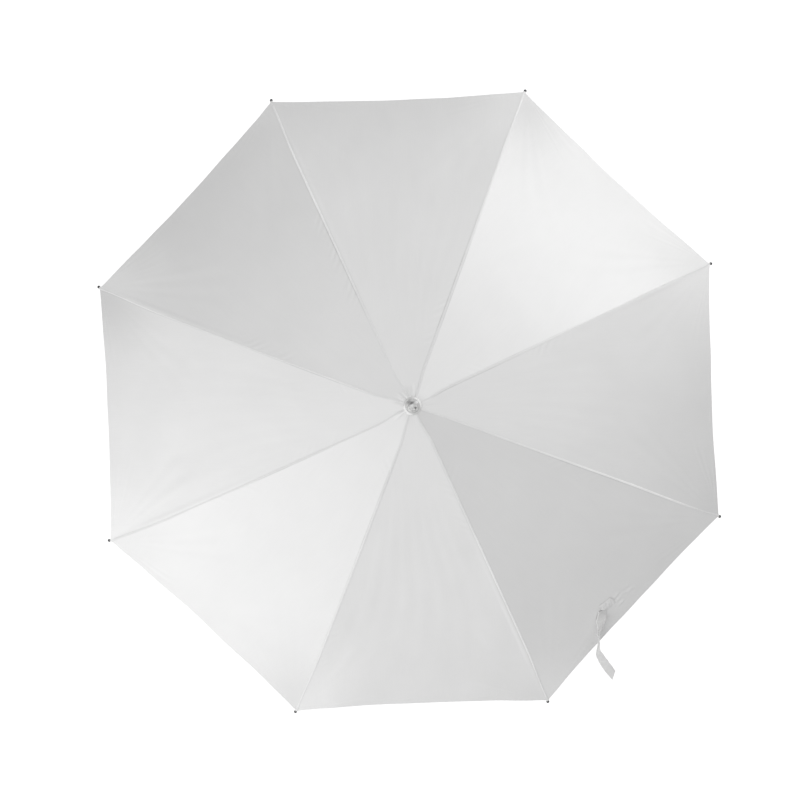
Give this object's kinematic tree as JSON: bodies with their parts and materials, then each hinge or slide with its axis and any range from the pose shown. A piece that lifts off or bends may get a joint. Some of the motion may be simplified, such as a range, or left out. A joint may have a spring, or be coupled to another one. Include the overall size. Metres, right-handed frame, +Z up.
{
  "type": "umbrella reflector",
  "caption": "Folding photographic umbrella reflector: bowed sprung ribs and stretchers under a white satin canopy, on a straight clampable shaft with a sliding runner and catch.",
  "frame": {"origin": "centre of the shaft tube's lower end face", "axes": "+Z up the shaft towards the apex; rib 1 lies 24.7 degrees from +X towards +Y and the others follow every 45 degrees"},
  "size_m": [0.9518, 0.9518, 0.7576],
  "materials": {
    "chrome_tube": "polished, with faint drawn lines",
    "black_plastic": "fine moulded texture",
    "wire_steel": "bright wire",
    "pin_steel": "turned steel",
    "rib_steel": "zinc-plated spring steel",
    "tip_bead": "dark bead on a pale neck",
    "white_satin": "white satin weave",
    "white_plastic": "glossy white",
    "ferrule_metal": "polished dome with small dents",
    "strap_webbing": "white satin tape with stitched edges",
    "spring_steel": "spring steel"
  },
  "bodies": {
    "frame": {"shaft": "chrome_tube", "end_plug": "black_plastic", "top_notch": "black_plastic", "notch_wire": "wire_steel", "notch_pin": "pin_steel", "stop_pins": "pin_steel", "top_spring_pin": "pin_steel", "ferrule": "ferrule_metal", "ferrule_collar": "white_plastic"},
    "rib_1": {"rib_1": "rib_steel", "rib_tip_1": "tip_bead", "canopy_panel_1": "white_satin"},
    "stretcher_1": {"stretcher_1": "rib_steel", "rib_rivet_1": "pin_steel"},
    "rib_2": {"rib_2": "rib_steel", "rib_tip_2": "tip_bead", "canopy_panel_2": "white_satin"},
    "stretcher_2": {"stretcher_2": "rib_steel", "rib_rivet_2": "pin_steel"},
    "rib_3": {"rib_3": "rib_steel", "rib_tip_3": "tip_bead", "canopy_panel_3": "white_satin"},
    "stretcher_3": {"stretcher_3": "rib_steel", "rib_rivet_3": "pin_steel"},
    "rib_4": {"rib_4": "rib_steel", "rib_tip_4": "tip_bead", "canopy_panel_4": "white_satin"},
    "stretcher_4": {"stretcher_4": "rib_steel", "rib_rivet_4": "pin_steel"},
    "rib_5": {"rib_5": "rib_steel", "rib_tip_5": "tip_bead", "canopy_panel_5": "white_satin"},
    "stretcher_5": {"stretcher_5": "rib_steel", "rib_rivet_5": "pin_steel"},
    "rib_6": {"rib_6": "rib_steel", "rib_tip_6": "tip_bead", "canopy_panel_6": "white_satin"},
    "stretcher_6": {"stretcher_6": "rib_steel", "rib_rivet_6": "pin_steel"},
    "rib_7": {"rib_7": "rib_steel", "rib_tip_7": "tip_bead", "canopy_panel_7": "white_satin", "strap_patch": "white_satin"},
    "stretcher_7": {"stretcher_7": "rib_steel", "rib_rivet_7": "pin_steel"},
    "rib_8": {"rib_8": "rib_steel", "rib_tip_8": "tip_bead", "canopy_panel_8": "white_satin"},
    "stretcher_8": {"stretcher_8": "rib_steel", "rib_rivet_8": "pin_steel"},
    "runner": {"runner": "black_plastic", "runner_wire": "wire_steel"},
    "catch": {"top_spring": "spring_steel"},
    "strap": {"tie_strap": "strap_webbing"}
  },
  "joints": [
    {"name": "canopy_fold", "type": "hinge", "parent": "frame", "child": "rib_1", "pos_m": [0.00727, 0.00334, 0.74], "axis": [-0.4179, 0.9085, 0], "range_deg": [0, 64], "deforming": ["canopy_panel_1", "canopy_panel_2", "canopy_panel_3", "canopy_panel_4", "canopy_panel_5", "canopy_panel_6", "canopy_panel_7", "canopy_panel_8", "strap_patch"]},
    {"name": "rib_2_fold", "type": "hinge", "parent": "frame", "child": "rib_2", "pos_m": [0.00278, 0.0075, 0.74], "axis": [-0.9379, 0.3469, 0], "range_deg": [0, 64]},
    {"name": "rib_3_fold", "type": "hinge", "parent": "frame", "child": "rib_3", "pos_m": [-0.00334, 0.00727, 0.74], "axis": [-0.9085, -0.4179, 0], "range_deg": [0, 64]},
    {"name": "rib_4_fold", "type": "hinge", "parent": "frame", "child": "rib_4", "pos_m": [-0.0075, 0.00278, 0.74], "axis": [-0.3469, -0.9379, 0], "range_deg": [0, 64]},
    {"name": "rib_5_fold", "type": "hinge", "parent": "frame", "child": "rib_5", "pos_m": [-0.00727, -0.00334, 0.74], "axis": [0.4179, -0.9085, 0], "range_deg": [0, 64]},
    {"name": "rib_6_fold", "type": "hinge", "parent": "frame", "child": "rib_6", "pos_m": [-0.00278, -0.0075, 0.74], "axis": [0.9379, -0.3469, 0], "range_deg": [0, 64]},
    {"name": "rib_7_fold", "type": "hinge", "parent": "frame", "child": "rib_7", "pos_m": [0.00334, -0.00727, 0.74], "axis": [0.9085, 0.4179, 0], "range_deg": [0, 64]},
    {"name": "rib_8_fold", "type": "hinge", "parent": "frame", "child": "rib_8", "pos_m": [0.0075, -0.00278, 0.74], "axis": [0.3469, 0.9379, 0], "range_deg": [0, 64]},
    {"name": "stretcher_1_pivot", "type": "hinge", "parent": "rib_1", "child": "stretcher_1", "pos_m": [0.22682, 0.10433, 0.68004], "axis": [-0.4179, 0.9085, 0], "range_deg": [-128, 0]},
    {"name": "stretcher_2_pivot", "type": "hinge", "parent": "rib_2", "child": "stretcher_2", "pos_m": [0.08662, 0.23415, 0.68004], "axis": [-0.9379, 0.3469, 0], "range_deg": [-128, 0]},
    {"name": "stretcher_3_pivot", "type": "hinge", "parent": "rib_3", "child": "stretcher_3", "pos_m": [-0.10433, 0.22682, 0.68004], "axis": [-0.9085, -0.4179, 0], "range_deg": [-128, 0]},
    {"name": "stretcher_4_pivot", "type": "hinge", "parent": "rib_4", "child": "stretcher_4", "pos_m": [-0.23415, 0.08662, 0.68004], "axis": [-0.3469, -0.9379, 0], "range_deg": [-128, 0]},
    {"name": "stretcher_5_pivot", "type": "hinge", "parent": "rib_5", "child": "stretcher_5", "pos_m": [-0.22682, -0.10433, 0.68004], "axis": [0.4179, -0.9085, 0], "range_deg": [-128, 0]},
    {"name": "stretcher_6_pivot", "type": "hinge", "parent": "rib_6", "child": "stretcher_6", "pos_m": [-0.08662, -0.23415, 0.68004], "axis": [0.9379, -0.3469, 0], "range_deg": [-128, 0]},
    {"name": "stretcher_7_pivot", "type": "hinge", "parent": "rib_7", "child": "stretcher_7", "pos_m": [0.10433, -0.22682, 0.68004], "axis": [0.9085, 0.4179, 0], "range_deg": [-128, 0]},
    {"name": "stretcher_8_pivot", "type": "hinge", "parent": "rib_8", "child": "stretcher_8", "pos_m": [0.23415, -0.08662, 0.68004], "axis": [0.3469, 0.9379, 0], "range_deg": [-128, 0]},
    {"name": "runner_carry", "type": "hinge", "parent": "stretcher_1", "child": "runner", "pos_m": [0.00727, 0.00334, 0.62009], "axis": [-0.4179, 0.9085, 0], "range_deg": [0, 64]},
    {"name": "catch_press", "type": "hinge", "parent": "frame", "child": "catch", "pos_m": [0.0012, 0, 0.56649], "axis": [0, -1, 0], "range_deg": [0, 6.5], "stiffness_Nm_per_rad": 0.02},
    {"name": "strap_lift", "type": "hinge", "parent": "rib_7", "child": "strap", "pos_m": [0.289, -0.322, 0.54876], "axis": [-0.6794, -0.7337, 0], "range_deg": [0, 90]}
  ],
  "couplings": [
    {"joint": "rib_2_fold", "follows": "canopy_fold", "ratio": 1},
    {"joint": "rib_3_fold", "follows": "canopy_fold", "ratio": 1},
    {"joint": "rib_4_fold", "follows": "canopy_fold", "ratio": 1},
    {"joint": "rib_5_fold", "follows": "canopy_fold", "ratio": 1},
    {"joint": "rib_6_fold", "follows": "canopy_fold", "ratio": 1},
    {"joint": "rib_7_fold", "follows": "canopy_fold", "ratio": 1},
    {"joint": "rib_8_fold", "follows": "canopy_fold", "ratio": 1},
    {"joint": "stretcher_1_pivot", "follows": "canopy_fold", "ratio": -2},
    {"joint": "stretcher_2_pivot", "follows": "canopy_fold", "ratio": -2},
    {"joint": "stretcher_3_pivot", "follows": "canopy_fold", "ratio": -2},
    {"joint": "stretcher_4_pivot", "follows": "canopy_fold", "ratio": -2},
    {"joint": "stretcher_5_pivot", "follows": "canopy_fold", "ratio": -2},
    {"joint": "stretcher_6_pivot", "follows": "canopy_fold", "ratio": -2},
    {"joint": "stretcher_7_pivot", "follows": "canopy_fold", "ratio": -2},
    {"joint": "stretcher_8_pivot", "follows": "canopy_fold", "ratio": -2},
    {"joint": "runner_carry", "follows": "canopy_fold", "ratio": 1}
  ]
}
